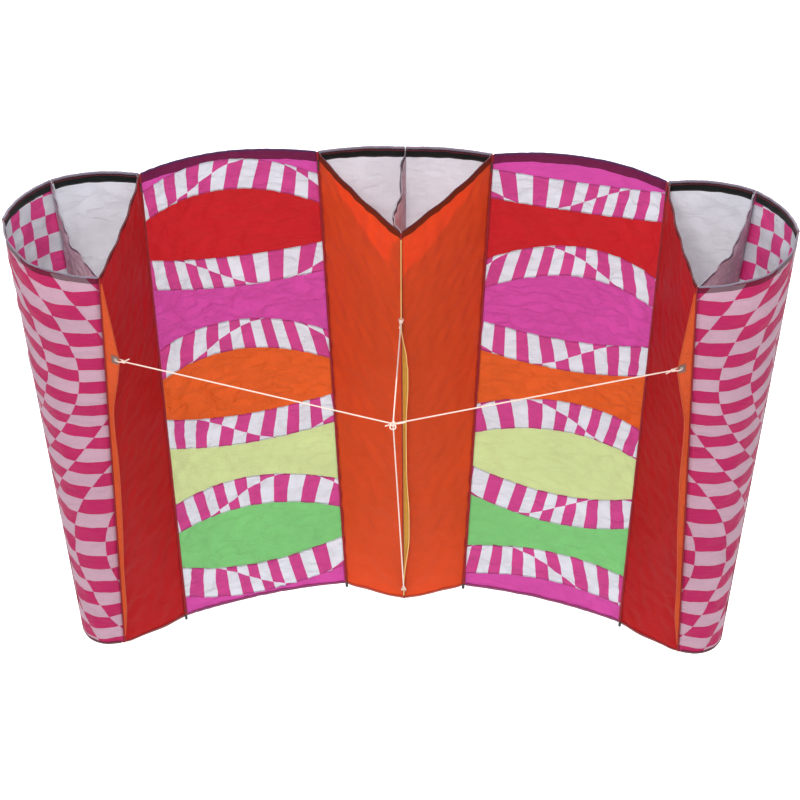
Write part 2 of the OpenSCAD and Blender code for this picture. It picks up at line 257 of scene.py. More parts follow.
def attribute(tree, name):
    """The three numbers of a point attribute."""
    read = tree.nodes.new("ShaderNodeAttribute")
    read.attribute_name = name
    split = tree.nodes.new("ShaderNodeSeparateXYZ")
    tree.links.new(read.outputs["Vector"], split.inputs[0])
    return [Sum(tree, socket) for socket in split.outputs]


def noise(tree, scale, detail=3, stretch=(1, 1, 1)):
    """Noise from 0 to 1 in the object's own space."""
    place = tree.nodes.new("ShaderNodeTexCoord")
    spread = tree.nodes.new("ShaderNodeMapping")
    spread.inputs["Scale"].default_value = stretch
    field = tree.nodes.new("ShaderNodeTexNoise")
    field.inputs["Scale"].default_value = scale
    field.inputs["Detail"].default_value = detail
    tree.links.new(place.outputs["Object"], spread.inputs["Vector"])
    tree.links.new(spread.outputs["Vector"], field.inputs["Vector"])
    return Sum(tree, field.outputs["Fac"])


def mixed(tree, share, first, second, blend="MIX"):
    """A colour that goes from first to second as share goes from 0 to 1."""
    mix = tree.nodes.new("ShaderNodeMix")
    mix.data_type = "RGBA"
    mix.blend_type = blend
    for number, value in ((0, share), (6, first), (7, second)):
        feed(tree, mix.inputs[number], value)
    return mix.outputs[2]


def scaled(tree, colour, factor):
    """A colour made lighter or darker by a number that varies over the surface."""
    scale = tree.nodes.new("ShaderNodeVectorMath")
    scale.operation = "SCALE"
    feed(tree, scale.inputs[0], colour)
    feed(tree, scale.inputs["Scale"], factor)
    return scale.outputs[0]


def bumped(tree, shader, height, depth):
    bump = tree.nodes.new("ShaderNodeBump")
    bump.inputs["Distance"].default_value = depth
    tree.links.new(height.socket, bump.inputs["Height"])
    tree.links.new(bump.outputs[0], shader.inputs["Normal"])


def new_material(name):
    material = bpy.data.materials.new(name)
    material.use_nodes = True
    tree = material.node_tree
    return material, tree, tree.nodes["Principled BSDF"]


def dress(tree, shader, surface, roughness, specular=0.5, sheen=0.0):
    """Gives a shader its colour and its gloss."""
    for name, value in (("Base Color", surface), ("Roughness", roughness),
                        ("Specular IOR Level", specular), ("Sheen Weight", sheen)):
        feed(tree, shader.inputs[name], value)


RIPSTOP_PITCH = 0.0055
THICK_THREAD = 0.16
STITCH_PITCH = 0.0032
RIB_PITCH = 0.0016
BRAID_PITCH = 0.0045
STITCH_SHARE = 0.6
# how much the stitch line darkens a fabric: partly the thread itself, partly a painted shadow along the
# seam
STITCH_AND_SEAM_SHADOW = 0.28
FABRIC_RELIEF = 0.0042


def stitches(along, rim, near, far):
    """A broken line of thread at near to far from an edge."""
    return (along / STITCH_PITCH).fraction().below(STITCH_SHARE) * (rim.below(far) * rim.above(near))


def fabric(name, colour, hem=None, band=None, band_width=TAPE_WIDTH, crinkle=1.0, glow=0.22):
    """Ripstop nylon. colour is a function of the node tree where the cloth is printed. hem and
    band are the shades of its low edge and of the tape behind its high edge, as (r, g, b)
    factors. glow is the share of light that comes through."""
    material, tree, shader = new_material(name)
    across, up, _ = attribute(tree, "flat")
    side_rim, low_rim, high_rim = attribute(tree, "rims")
    base = colour(tree) if callable(colour) else mixed(tree, 0.0, colour, colour)

    # ripstop grid, soft blotches, painted shade along the sharp creases, and stitches round the rim of
    # each patch, darkened both for the thread and as a painted shadow along the seam
    upright, level_threads = ((way / RIPSTOP_PITCH).fraction().below(THICK_THREAD)
                              for way in (across, up))
    grid = upright.most(level_threads)
    near_rim = side_rim.least(low_rim).least(high_rim)
    thread = stitches(across + up, near_rim, 0.0010, 0.0026)
    ridge = (noise(tree, 17, 5, (0.8, 1.0, 1.9)) - 0.5).magnitude() * 11.0
    crease = ridge.least(1.0) * -1.0 + 1.0
    # the crease term darkens the colour: painted shade in the creases
    tone = noise(tree, 9, 4) * 0.16 + 0.92 - grid * 0.05 - crease * (0.058 * crinkle)
    # the stitches darken the colour: the thread, and a painted seam shadow along each patch rim
    tone = tone * (thread * -STITCH_AND_SEAM_SHADOW + 1.0)
    for mask, shade in ((low_rim.below(HEM_WIDTH), hem), (high_rim.below(band_width), band)):
        if shade:
            base = mixed(tree, 1.0, base, mixed(tree, mask, (1.0, 1.0, 1.0), shade), "MULTIPLY")
    surface = scaled(tree, base, tone)
    dress(tree, shader, surface, 0.55, 0.16, 0.03)
    shader.inputs["Sheen Roughness"].default_value = 0.4

    # bump: crumples of two sizes, the grid's thicker threads and the stitches
    crumple = noise(tree, 26, 5, (1.0, 1.0, 0.6)) * (1.6 * crinkle)
    crumple = crumple + noise(tree, 110, 3) * (0.35 * crinkle)
    height = crumple + grid * 0.10 - thread * 0.45 - crease * (0.5 * crinkle)
    bumped(tree, shader, height, FABRIC_RELIEF)

    thin = tree.nodes.new("ShaderNodeBsdfTranslucent")
    tree.links.new(surface, thin.inputs["Color"])
    both = tree.nodes.new("ShaderNodeMixShader")
    both.inputs[0].default_value = glow
    tree.links.new(shader.outputs[0], both.inputs[1])
    tree.links.new(thin.outputs[0], both.inputs[2])
    tree.links.new(both.outputs[0], tree.nodes["Material Output"].inputs["Surface"])
    return material


def woven(name, colour):
    """Binding tape: close ribs across its length and a line of stitches along each edge."""
    material, tree, shader = new_material(name)
    across = attribute(tree, "flat")[0]
    _, low_rim, high_rim = attribute(tree, "rims")
    ribs = (across * (FULL_TURN / RIB_PITCH)).sine()
    thread = stitches(across, low_rim.least(high_rim), 0.0018, 0.0032)
    cloth = scaled(tree, colour, noise(tree, 22) * 0.5 + 0.75 + ribs * 0.06)
    pale = tuple(0.5 * c + 0.10 for c in colour)
    dress(tree, shader, mixed(tree, thread, cloth, pale), 0.72, 0.25, 0.05)
    bumped(tree, shader, ribs * 0.3 + noise(tree, 60) * 0.8 - thread * 0.6, 0.0006)
    return material


def rolled(name, colour):
    """A rolled seam or a rod's sleeve: cloth round a core, with thread wound over it."""
    material, tree, shader = new_material(name)
    around, along, _ = attribute(tree, "flat")
    winding = (along / 0.005 + around).fraction().below(0.25)
    tone = noise(tree, 30, 4, (1, 1, 0.3)) * 0.5 + 0.75 - winding * 0.16
    dress(tree, shader, scaled(tree, colour, tone), 0.62, 0.2, 0.03)
    bumped(tree, shader, noise(tree, 70, 4, (1, 1, 0.25)) * 1.2 - winding * 0.4, 0.0008)
    return material


def braided(name, colour):
    """Braided cord: two sets of strands that cross."""
    material, tree, shader = new_material(name)
    around, along, _ = attribute(tree, "flat")
    one = ((along / BRAID_PITCH + around * 2) * FULL_TURN).sine()
    other = ((along / BRAID_PITCH - around * 2) * FULL_TURN).sine()
    strands = one.most(other)
    tone = strands * 0.07 + noise(tree, 90) * 0.14 + 0.88
    dress(tree, shader, scaled(tree, colour, tone), 0.66, sheen=0.2)
    bumped(tree, shader, strands * 0.5, 0.0004)
    return material


def moulded(name, colour, roughness, grain=160, metallic=0.0, streak=(1, 1, 1)):
    """Vinyl, fibreglass or metal, with fine grain, and scuffs that are lighter and rougher."""
    material, tree, shader = new_material(name)
    worn = noise(tree, 45, 6, streak).above(0.62)
    tone = noise(tree, grain, 3, streak) * 0.24 + 0.88 + worn * 0.10
    dress(tree, shader, scaled(tree, colour, tone), worn * 0.15 + roughness)
    shader.inputs["Metallic"].default_value = metallic
    bumped(tree, shader, noise(tree, grain, 3, streak), 0.0002)
    return material


WHITE = srgb(226, 228, 234)
CHECK_MAGENTA = srgb(212, 74, 150)
CHECK_WHITE = srgb(228, 230, 238)
BACK_MAGENTA = srgb(230, 96, 166)
WALL_PINK = srgb(194, 36, 98)
WALL_WHITE = srgb(208, 168, 186)
MAROON_SHADE = (0.27, 0.14, 0.17)
RED_SHADE = (0.34, 0.30, 0.34)
GREY_SHADE = (0.34, 0.30, 0.29)
HEM_SHADE = (0.80, 0.72, 0.76)
INNER_TAPE_WIDTH = 0.010


def strip_check(phase):
    """Bars of two colours along a strip. Long waves cut across it and swap the two."""
    def pattern(tree):
        across, _, share = attribute(tree, "flat")
        lean = (across * 9.0 + phase).sine() * (share - 0.5) * 0.020
        spread = (across * 15.0 + phase).sine() * 0.010
        bars = ((across + lean + spread) / 0.031).floor().odd()
        cut = (across * 11.0 + phase * 1.7).sine() * 0.55 + 0.5
        swap = (share - cut).above(0.0)
        return mixed(tree, bars.either(swap), CHECK_MAGENTA, CHECK_WHITE)
    return pattern


def wall_check(tree):
    """Rows that rise and fall across the wall, cut by lines that lean one way and then the other."""
    across, up, _ = attribute(tree, "flat")
    rows = (up + (across * 11.0 + 0.6).sine() * 0.026 + (up * 8.0).sine() * 0.016) / 0.041
    lean = (up * 5.6 + 2.9).sine() * 0.110
    columns = (across + lean + (across * 13.0).sine() * 0.016) / 0.084
    return mixed(tree, rows.floor().odd().either(columns.floor().odd()), WALL_PINK, WALL_WHITE)


def square_check(tree):
    """Plain squares, a little slanted."""
    across, up, _ = attribute(tree, "flat")
    rows = ((up - across * 0.10) / 0.052).floor().odd()
    columns = ((across + up * 0.05) / 0.046).floor().odd()
    return mixed(tree, rows.either(columns), BACK_MAGENTA, WHITE)


class Library:
    """Materials by name, each made once."""


def stock(kind, rows, suffix=""):
    """Puts materials of one kind in the library."""
    for name, colour, *more in rows:
        colour = colour if callable(colour) else srgb(*colour)
        options = more[0] if more else {}
        setattr(Library, name, kind(name + suffix, colour, **options))


stock(fabric, (
    ("white", (226, 228, 234), {"crinkle": 0.6, "glow": 0.46}),
    ("orange", (244, 100, 48), {"hem": HEM_SHADE, "band": RED_SHADE, "crinkle": 0.35, "glow": 0.50}),
    ("deep_red", (205, 24, 29), {"hem": HEM_SHADE, "band": RED_SHADE, "crinkle": 0.35,
                                 "glow": 0.42, "band_width": INNER_TAPE_WIDTH}),
    ("red", (204, 32, 40), {"crinkle": 0.5}),
    ("magenta", (217, 82, 174), {"crinkle": 1.2}),
    ("magenta_top", (217, 82, 174), {"band": MAROON_SHADE, "band_width": PANEL_TAPE_WIDTH,
                                     "crinkle": 0.6}),
    ("magenta_foot", (217, 82, 174), {"hem": HEM_SHADE, "crinkle": 0.8}),
    ("tangerine", (230, 102, 38), {"crinkle": 1.1}),
    ("yellow", (212, 226, 164), {"crinkle": 0.55}),
    ("green", (134, 208, 130), {"crinkle": 0.6}),
    ("wall_check", wall_check, {"hem": HEM_SHADE, "band": GREY_SHADE, "crinkle": 0.7}),
    ("back_check", square_check, {"crinkle": 0.7, "glow": 0.40}),
    ("rib", (238, 222, 232), {"crinkle": 1.6, "glow": 0.3}),
    ("gold", (218, 160, 60), {"crinkle": 0.7}),
    ("keel_orange", (228, 92, 40), {"crinkle": 0.7}),
), "_ripstop")
stock(woven, (
    ("brown_patch", (132, 98, 88)), ("black_tape", (16, 25, 23)), ("grey_tape", (128, 118, 134)),
    # the centre rib's darker tape is the grey rib tape with painted shade, standing for the shade deep
    # in the centre cell
    ("dark_tape", (82, 74, 90)), ("maroon_tape", (98, 30, 44)), ("pale_hem", (176, 166, 182)),
    ("orange_hem_tape", (186, 62, 36)), ("plum_hem_tape", (142, 38, 100)),
    ("red_hem_tape", (142, 26, 32))))
stock(rolled, (
    ("purple_bead", (74, 40, 84)), ("grey_bead", (128, 118, 134)), ("gold_hem", (236, 186, 112)),
    ("orange_hem", (196, 78, 34)), ("rolled_seam", (142, 28, 36)), ("pale_seam", (196, 186, 200))))
stock(braided, (("bridle_cord", (238, 214, 200)),))
stock(moulded, (
    ("black_vinyl", (34, 34, 36), {"roughness": 0.42}),
    ("fibreglass", (214, 212, 196), {"roughness": 0.3, "grain": 300, "streak": (1, 1, 0.04)}),
    ("eyelet_metal", (206, 204, 200), {"roughness": 0.28, "grain": 400, "metallic": 1.0})))

# ---- meshes


def mesh_object(name, points, faces, material, flat, rims=None, rough_faces=()):
    """An object from points and four-sided faces, with the point attributes that materials read."""
    mesh = bpy.data.meshes.new(name)
    mesh.from_pydata([tuple(p) for p in points], [], [tuple(int(i) for i in f) for f in faces])
    smooth = np.ones(len(faces), bool)
    smooth[list(rough_faces)] = False
    mesh.polygons.foreach_set("use_smooth", smooth)
    for label, values in (("flat", flat), ("rims", rims)):
        if values is not None:
            data = mesh.attributes.new(label, "FLOAT_VECTOR", "POINT")
            data.data.foreach_set("vector", np.ascontiguousarray(values, np.float32).ravel())
    mesh.materials.append(material)
    mesh.update()
    return placed(name, mesh)


def quads(a, b, c, d):
    """Four-sided faces from four grids of point numbers."""
    return np.stack([x.ravel() for x in (a, b, c, d)], 1)


def grid_faces(number):
    """The faces of a grid, from its grid of point numbers."""
    return quads(number[:-1, :-1], number[:-1, 1:], number[1:, 1:], number[1:, :-1])


def sheet_object(name, grid, normals, thick, material, flat, rims, flipped=False):
    """A closed thin sheet whose middle is a grid of points."""
    rows, cols = grid.shape[:2]
    half = normals * thick / 2
    points = np.concatenate([(grid + half).reshape(-1, 3), (grid - half).reshape(-1, 3)])
    number = np.arange(rows * cols).reshape(rows, cols)
    back = number + rows * cols
    front_faces = grid_faces(number)
    back_faces = quads(back[:-1, :-1], back[1:, :-1], back[1:, 1:], back[:-1, 1:])
    rim_faces = [quads(number[0, 1:], number[0, :-1], back[0, :-1], back[0, 1:]),
                 quads(number[-1, :-1], number[-1, 1:], back[-1, 1:], back[-1, :-1]),
                 quads(number[:-1, 0], number[1:, 0], back[1:, 0], back[:-1, 0]),
                 quads(number[1:, -1], number[:-1, -1], back[:-1, -1], back[1:, -1])]
    faces = np.concatenate([front_faces, back_faces, *rim_faces])
    if flipped:
        faces = faces[:, ::-1]
    first_rim = len(front_faces) + len(back_faces)
    both = [np.concatenate([values.reshape(-1, 3)] * 2) for values in (flat, rims)]
    obj = mesh_object(name, points, faces, material, both[0], both[1],
                      range(first_rim, len(faces)))
    obj["cut"] = [float(np.linalg.norm(np.diff(grid, axis=axis), axis=2).sum(axis).max())
                  for axis in (1, 0)]
    return obj


def ring_faces(rings, sides, closed):
    """Faces from each ring of points to the next, and back to the first where closed."""
    return [(i * sides + j, i * sides + (j + 1) % sides,
             (i + 1) % rings * sides + (j + 1) % sides, (i + 1) % rings * sides + j)
            for i in range(rings if closed else rings - 1) for j in range(sides)]


def ring_flat(angles, along):
    """The share of the way round and the distance along, for each point of the rings."""
    return np.stack(np.broadcast_arrays(
        (angles / FULL_TURN)[None, :], along[:, None], 0.0), -1).reshape(-1, 3)


def along_path(path):
    """Directions along a path, and two more at right angles that turn as little as they can."""
    ahead = unit(np.gradient(path, axis=0))
    helper = np.array((0.0, 0.0, 1.0)) if abs(ahead[0][2]) < 0.9 else np.array((1.0, 0.0, 0.0))
    first = []
    for direction in ahead:
        helper = unit(helper - direction * (helper @ direction))
        first.append(helper)
    first = np.array(first)
    return ahead, first, np.cross(ahead, first)


def tube_object(name, path, radius, material, sides=12, closed=False, squash=None):
    """A tube round a path. radius may vary along it, and squash(angle) shapes its section."""
    path = np.asarray(path, float)
    count = len(path)
    ahead, first, second = along_path(path)
    radii = np.broadcast_to(radius, (count,))
    angles = np.arange(sides) * FULL_TURN / sides
    shape = np.array([squash(a) if squash else 1.0 for a in angles])
    ring = (first[:, None] * (np.cos(angles) * shape)[None, :, None]
            + second[:, None] * (np.sin(angles) * shape)[None, :, None])
    points = (path[:, None] + ring * radii[:, None, None]).reshape(-1, 3)
    length = np.concatenate([[0], np.cumsum(np.linalg.norm(np.diff(path, axis=0), axis=1))])
    flat = ring_flat(angles, length)
    faces = ring_faces(count, sides, closed)
    if not closed:
        for end, point, order in ((0, path[0] - ahead[0] * radii[0] * 0.5, -1),
                                  (count - 1, path[-1] + ahead[-1] * radii[-1] * 0.5, 1)):
            centre = len(points)
            points = np.vstack([points, point])
            flat = np.vstack([flat, [0, length[end], 0]])
            for j in range(sides):
                a, b = end * sides + j, end * sides + (j + 1) % sides
                faces.append((a, b, centre)[::order])
    return mesh_object(name, points, faces, material, flat)


def lathe_object(name, foot, axis, profile, material, sides=32):
    """A shape turned about an axis. profile is (height along it, radius), a closed outline."""
    axis = unit(np.asarray(axis, float))
    first = unit(np.cross(axis, (0.31, 0.95, 0.05)))
    second = np.cross(axis, first)
    angles = np.arange(sides) * FULL_TURN / sides
    around = np.outer(np.cos(angles), first) + np.outer(np.sin(angles), second)
    heights, radii = np.array(profile).T
    points = (foot + axis * heights[:, None, None] + around[None] * radii[:, None, None])
    return mesh_object(name, points.reshape(-1, 3), ring_faces(len(profile), sides, True),
                       material, ring_flat(angles, heights))


# ---- cloth between two seams


def facing(grid):
    """The normals of a grid of points."""
    return unit(np.cross(np.gradient(grid, axis=1), np.gradient(grid, axis=0)))


def waves(across, up, seed, count, wavelength, heading=0.0, spread=math.pi):
    """A sum of plane waves with random headings and phases, about -1 to 1."""
    draw = np.random.default_rng(seed)
    total = np.zeros_like(across)
    for _ in range(count):
        turn = heading + draw.uniform(-spread, spread)
        pace = FULL_TURN / (wavelength * draw.uniform(0.7, 1.4))
        total += np.sin(pace * (across * math.cos(turn) + up * math.sin(turn))
                        + draw.uniform(0, FULL_TURN))
    return total / math.sqrt(count)


def creases(across, up, seed, wavelength, heading=0.0, spread=math.pi):
    """Sharp folds: the zero lines of a sum of waves."""
    return 1 - 2 * np.minimum(1, np.abs(waves(across, up, seed, 5, wavelength, heading, spread)))


def fade(distance, reach):
    """0 at an edge and 1 beyond reach."""
    share = np.clip(distance / reach, 0, 1)
    return share * share * (3 - 2 * share)


def outward(across):
    """The level directions square to directions across a cloth, on its front side."""
    return unit(np.stack([across[..., 1], -across[..., 0], np.zeros(across.shape[:-1])], -1))


class Cloth:
    """A sheet between seams a and b. s runs across it from a to b, and t up it."""

    def __init__(self, a, b, node=None, wrinkle=None):
        self.a, self.b = a, b
        self.wrinkle = wrinkle
        self.relief = None
        self.billow = (0.0, 0.0)
        if node:
            s, t, out = self.place(np.vstack(islands(node)))
            middle_column = abs(s - 0.5) < 0.012
            self.billow = tuple(out[middle_column & (abs(t - height) < 0.004)].mean()
                                for height in (0, 1))
        self.length = (np.linalg.norm(a[1] - a[0]) + np.linalg.norm(b[1] - b[0])) / 2

    def seams_at(self, t):
        t = np.asarray(t, float)[..., None]
        return on_line(self.a, t), on_line(self.b, t)

    def width(self, t):
        p, q = self.seams_at(t)
        return np.linalg.norm(q - p, axis=-1)

    def spread(self, s, t):
        """Distances across and up the cloth, and to the nearer seam."""
        width = self.width(t)
        return s * width, t * self.length, np.minimum(s, 1 - s) * width

    def place(self, points):
        """s, t and the distance in front of the flat sheet, of points on the cloth."""
        s = np.full(len(points), 0.5)
        for _ in range(8):
            top = self.a[1][2] * (1 - s) + self.b[1][2] * s
            t = (points[:, 2] - TRAILING) / (top - TRAILING)
            p, q = self.seams_at(t)
            across = q - p
            s = ((points - p) * across).sum(-1) / (across ** 2).sum(-1)
        return s, t, ((points - p) * outward(across)).sum(-1)

    def base(self, s, t):
        p, q = self.seams_at(t)
        across = q - p
        bulge = 4 * on_line(self.billow, t) * s * (1 - s)
        return p + across * s[..., None] + outward(across) * bulge[..., None]

    def sheet(self, s, t, lift=0.0):
        """Points of the cloth, lifted off it to the front, and their normals."""
        step = 1e-4
        along = self.base(s + step, t) - self.base(s - step, t)
        upward = self.base(s, t + step) - self.base(s, t - step)
        normal = unit(np.cross(along, upward))
        rise = lift
        if self.wrinkle is not None:
            rise = rise + self.wrinkle(self, s, t) + relief_at(self.relief, s, t)
        points = self.base(s, t) + normal * np.broadcast_to(rise, s.shape)[..., None]
        return points, facing(points)


def level(height):
    """An edge at one share of the way up."""
    return lambda s: np.full_like(s, height)


def arched(edge):
    """An edge given by its height at both seams and how far it arches between them."""
    return lambda s: on_line(edge, s) + 4 * edge[2] * s * (1 - s)


def patch(name, cloth, side, material, low=level(0), high=level(1), gaps=(0.0, 0.0), lift=0.0,
          thick=CLOTH_THICK, pitch=(0.008, 0.010)):
    """A piece of cloth between two edges. gaps are its distances from the two seams."""
    middle_width = float(cloth.width(0.5))
    cols = max(3, int(middle_width / pitch[0]))
    share = np.linspace(0, 1, cols + 1)
    nominal = gaps[0] / middle_width + (1 - (gaps[0] + gaps[1]) / middle_width) * share
    bottom, top = low(nominal), high(nominal)
    rows = max(2, int((top - bottom).max() * cloth.length / pitch[1]))
    rise = np.linspace(0, 1, rows + 1)[:, None]
    t = bottom + (top - bottom) * rise
    width = cloth.width(t)
    s = gaps[0] / width + (1 - (gaps[0] + gaps[1]) / width) * share
    points, normals = cloth.sheet(s, t, lift)
    flat = np.stack([s * width, t * cloth.length, np.broadcast_to(rise, s.shape)], -1)
    rims = np.stack([np.minimum(s, 1 - s) * width, (t - bottom) * cloth.length,
                     (top - t) * cloth.length], -1)
    return sheet_object(name, mirrored(points, side), mirrored(normals, side), thick, material,
                        flat, rims, flipped=side == LEFT)


def ride(obj, body, nodes=()):
    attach(obj, body)
    if nodes:
        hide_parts(*nodes)
    return obj


def declare_sheet(obj, body, nodes=()):
    """Rides a sheet on its body and hides the CAD nodes that it stands for. The sheet keeps its flat
    cut, its own size along its widest row and its longest column, from sheet_object. The area of each
    face is read here, and nothing uses it."""
    ride(obj, body, nodes)
    areas = np.zeros(len(obj.data.polygons))
    obj.data.polygons.foreach_get("area", areas)


# ---- cloth simulation: the fine relief of each cloth

RELIEF_COLS = 44
RELIEF_ROWS = 112
RELIEF_FRAMES = 16
RELIEF_LIMIT = 0.006
RELIEF_CLOTH = {"quality": 6, "mass": 0.02, "tension_stiffness": 25, "compression_stiffness": 25,
                "shear_stiffness": 10, "bending_stiffness": 0.02, "air_damping": 2}


def blurred(field, reach):
    """A field averaged over reach steps each way, with its border repeated."""
    for axis in (0, 1):
        padding = [(0, 0), (0, 0)]
        padding[axis] = (reach, reach)
        sums = np.cumsum(np.pad(field, padding, mode="edge"), axis=axis)
        start = np.take(sums, [0], axis=axis) * 0
        sums = np.concatenate([start, sums], axis=axis)
        size = 2 * reach + 1
        count = sums.shape[axis]
        field = (np.take(sums, range(size, count), axis=axis)
                 - np.take(sums, range(0, count - size), axis=axis)) / size
    return field


def relief(cloth, seed, slack, lines=()):
    """The wrinkles of a cloth that is cut larger than its place by slack and held along its
    edges and along lines. It is a cloth simulation, kept as a height at each grid point."""
    s, t = np.meshgrid(np.linspace(0, 1, RELIEF_COLS), np.linspace(0, 1, RELIEF_ROWS))
    across, up, to_side = cloth.spread(s, t)
    held = np.minimum(to_side, np.minimum(t, 1 - t) * cloth.length) < 0.002
    for line in lines:
        held |= np.abs(t - line(s)) * cloth.length < 0.5 * cloth.length / RELIEF_ROWS
    plain = Cloth(cloth.a, cloth.b)
    plain.billow = cloth.billow
    start = waves(across, up, seed, 12, 0.055) * 0.0012 * ~held
    points, _ = plain.sheet(s, t, start)
    rest, normals = plain.sheet(s, t)
    number = np.arange(RELIEF_ROWS * RELIEF_COLS).reshape(s.shape)
    mesh = bpy.data.meshes.new("relief")
    mesh.from_pydata(points.reshape(-1, 3).tolist(), [], grid_faces(number).tolist())
    obj = placed("relief", mesh)
    pins = obj.vertex_groups.new(name="held")
    pins.add(number[held].tolist(), 1.0, "REPLACE")
    modifier = obj.modifiers.new("cloth", "CLOTH")
    settings = modifier.settings
    settings.vertex_group_mass = "held"
    for name, value in RELIEF_CLOTH.items():
        setattr(settings, name, value)
    settings.shrink_min = -slack
    settings.effector_weights.gravity = 0
    modifier.collision_settings.use_collision = False
    modifier.point_cache.frame_start = 1
    modifier.point_cache.frame_end = RELIEF_FRAMES
    for moment in range(1, RELIEF_FRAMES + 1):
        bpy.context.scene.frame_set(moment)
    made = obj.evaluated_get(bpy.context.evaluated_depsgraph_get())
    moved = np.zeros(s.size * 3)
    made.data.vertices.foreach_get("co", moved)
    bpy.data.objects.remove(obj)
    bpy.data.meshes.remove(mesh)
    bpy.context.scene.frame_set(1)
    height = ((moved.reshape(rest.shape) - rest) * normals).sum(-1)
    height -= blurred(height, 6)
    return np.clip(height, -RELIEF_LIMIT, RELIEF_LIMIT)


def relief_at(heights, s, t):
    """The relief between its grid points, as a smooth surface through them."""
    if heights is None:
        return 0.0
    rows, cols = heights.shape
    total = 0.0
    x, y = np.clip(s, 0, 1) * (cols - 1), np.clip(t, 0, 1) * (rows - 1)
    i, j = np.floor(y).astype(int), np.floor(x).astype(int)
    fy, fx = y - i, x - j

    def weights(f):
        return (-0.5 * f + f ** 2 - 0.5 * f ** 3, 1 - 2.5 * f ** 2 + 1.5 * f ** 3,
                0.5 * f + 2 * f ** 2 - 1.5 * f ** 3, -0.5 * f ** 2 + 0.5 * f ** 3)

    for di, wy in enumerate(weights(fy)):
        for dj, wx in enumerate(weights(fx)):
            total = total + wy * wx * heights[np.clip(i + di - 1, 0, rows - 1),
                                              np.clip(j + dj - 1, 0, cols - 1)]
    return total


# ---- how each cloth wrinkles, as the distance that it stands in front of its plain shape


PUCKER_PITCH = 0.031
PUCKER_REACH = 0.013
PUCKER_DEPTH = 0.0009
FULLNESS_DEPTH = 0.0032
FULLNESS_REACH = 0.022
LIP_PITCH = 0.11
LIP_REACH = 0.05
HEM_WAVE_PITCH = 0.12
HEM_WAVE_REACH = 0.06
HEM_WAVE_DEPTH = 0.0016
RIB_SLACK_REACH = 0.26
FACET_DEPTH = 0.0030
FACET_REACH = 0.5
SEAM_FADE = 0.03


def edges_of(node, side, cloth):
    """The low and high edges of a node's strips, from the top one down: height at each seam
    and how far the edge arches between them."""
    found = []
    for points in islands(node):
        s, t, _ = cloth.place(mirrored(points, side))
        edges = []
        for pick in (np.min, np.max):
            stations = (s.min(), 0.5, s.max())
            heights = [pick(t[abs(s - x) < 0.01]) for x in stations]
            terms = [(1 - x, x, 4 * x * (1 - x)) for x in stations]
            edges.append(np.linalg.solve(terms, heights))
        found.append(edges)
    return sorted(found, key=lambda pair: -pair[0][0])


def panel_wrinkle(edges, seed):
    """Each patch is a little full between its seams, puckered along them and crumpled all over."""
    lines = [arched(edge) for pair in edges for edge in pair]

    def wrinkle(cloth, s, t):
        across, up, to_side = cloth.spread(s, t)
        to_seam = np.minimum(to_side, np.minimum(t, 1 - t) * cloth.length + 0.004)
        pucker = np.zeros_like(s)
        for number, line in enumerate(lines):
            away = np.abs(t - line(s)) * cloth.length
            to_seam = np.minimum(to_seam, away)
            beat = np.sin(across * FULL_TURN / PUCKER_PITCH + 2.1 * number
                          + 1.3 * np.sin(across * 17 + number))
            pucker += beat * np.exp(-away / PUCKER_REACH)
        fullness = -FULLNESS_DEPTH * (1 - np.exp(-to_seam / FULLNESS_REACH))
        crumple = (0.0008 * creases(across, up, seed, 0.060)
                   + 0.0005 * creases(across, up, seed + 1, 0.028))
        drawn = 0.0012 * waves(across, up, seed + 2, 3, 0.16, math.pi / 2, 0.35)
        return (fullness + pucker * PUCKER_DEPTH + crumple + drawn) * fade(to_side, 0.012)
    return wrinkle


def wall_wrinkle(seed, depth, mouth):
    """Long soft folds that run along the pull of the bridle, with a few fine creases."""
    def wrinkle(cloth, s, t):
        across, up, to_side = cloth.spread(s, t)
        folds = waves(across, up, seed, 4, 0.22, math.pi / 2, 0.3) * depth
        fine = creases(across, up, seed + 1, 0.09) * depth * 0.25
        lip = mouth * np.sin(across * FULL_TURN / LIP_PITCH + seed) * np.exp(
            -(1 - t) * cloth.length / LIP_REACH)
        foot = HEM_WAVE_DEPTH * np.sin(across * FULL_TURN / HEM_WAVE_PITCH + seed) * np.exp(
            -t * cloth.length / HEM_WAVE_REACH)
        return (folds + fine + lip + foot) * fade(to_side, SEAM_FADE)
    return wrinkle


def rib_wrinkle(seed, slack):
    """A rib is slack towards its top edge, where it hangs to one side in flat facets."""
    def wrinkle(cloth, s, t):
        across, up, to_side = cloth.spread(s, t)
        below_top = (1 - t) * cloth.length
        bow = slack * np.sin(math.pi * s) * np.exp(-below_top / RIB_SLACK_REACH) * (
            1 + 0.5 * np.sin(FULL_TURN * s * 1.5 + seed))
        facets = creases(across, up, seed, 0.16, math.radians(60), 0.5) * FACET_DEPTH
        return (bow + facets * np.exp(-below_top / FACET_REACH)) * fade(to_side, 0.04)
    return wrinkle


def back_wrinkle(cloth, s, t):
    across, up, to_side = cloth.spread(s, t)
    folds = waves(across, up, 71, 4, 0.17, math.pi / 2, 0.5) * 0.0014
    return (folds + creases(across, up, 72, 0.08) * 0.0007) * fade(to_side, SEAM_FADE)


